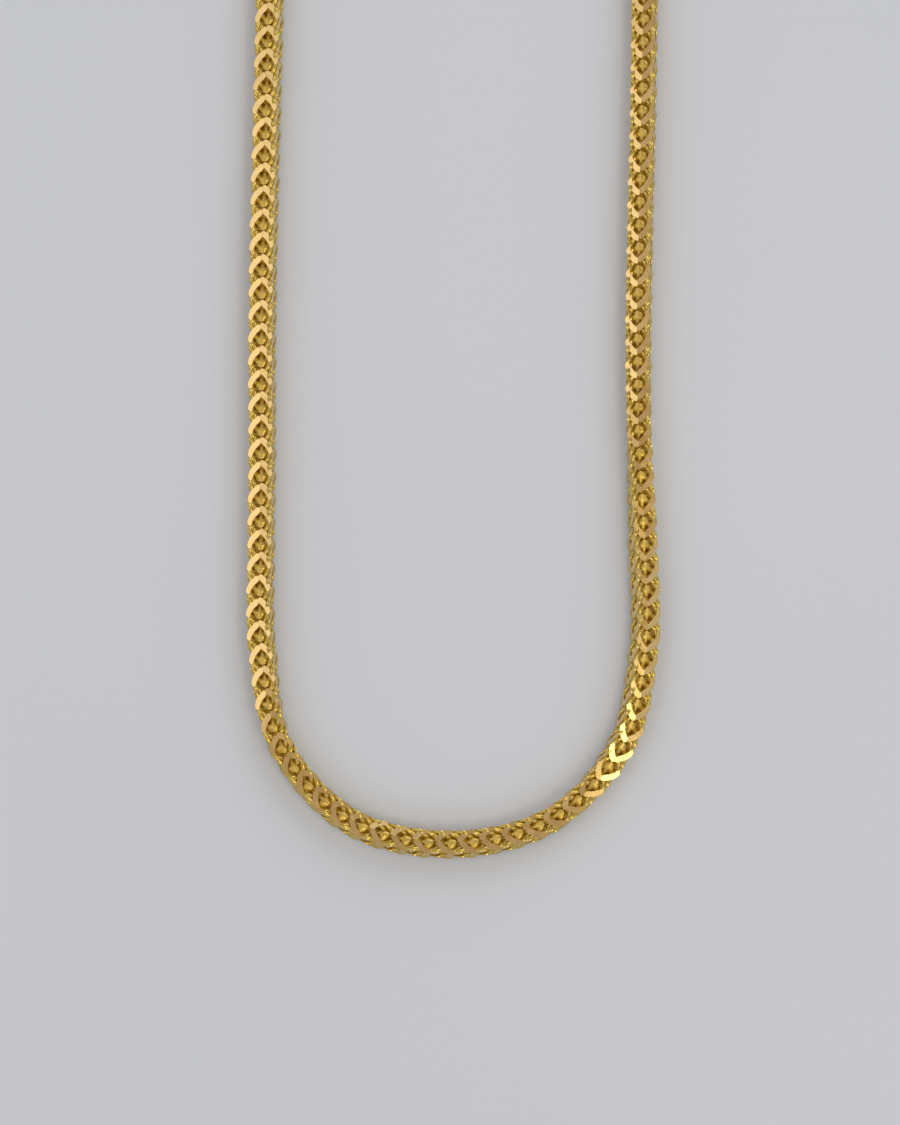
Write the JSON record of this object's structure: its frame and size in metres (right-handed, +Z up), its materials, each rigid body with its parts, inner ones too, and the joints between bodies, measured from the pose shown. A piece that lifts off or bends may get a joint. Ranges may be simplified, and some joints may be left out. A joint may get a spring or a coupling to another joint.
{
  "type": "franco chain necklace",
  "caption": "Gold square-section franco chain necklace, closed into a loop by a one-piece lobster clasp and lying flat.",
  "frame": {"origin": "middle of the loop's outline on the surface that the necklace lies on", "axes": "+Y from the bottom bend to the clasp, +Z up from the surface, +X to the right seen from above"},
  "size_m": [0.0486, 0.2289, 0.0036],
  "materials": {
    "chain_gold": "polished yellow gold with diamond-cut flats on the links",
    "fitting_gold": "polished yellow gold, smooth"
  },
  "bodies": {
    "root": {"chain_left": "chain_gold", "chain_right": "chain_gold", "end_cap_left": "fitting_gold", "jump_ring": "fitting_gold", "clasp": "fitting_gold", "end_ring": "fitting_gold", "end_cap_right": "fitting_gold"}
  },
  "joints": []
}
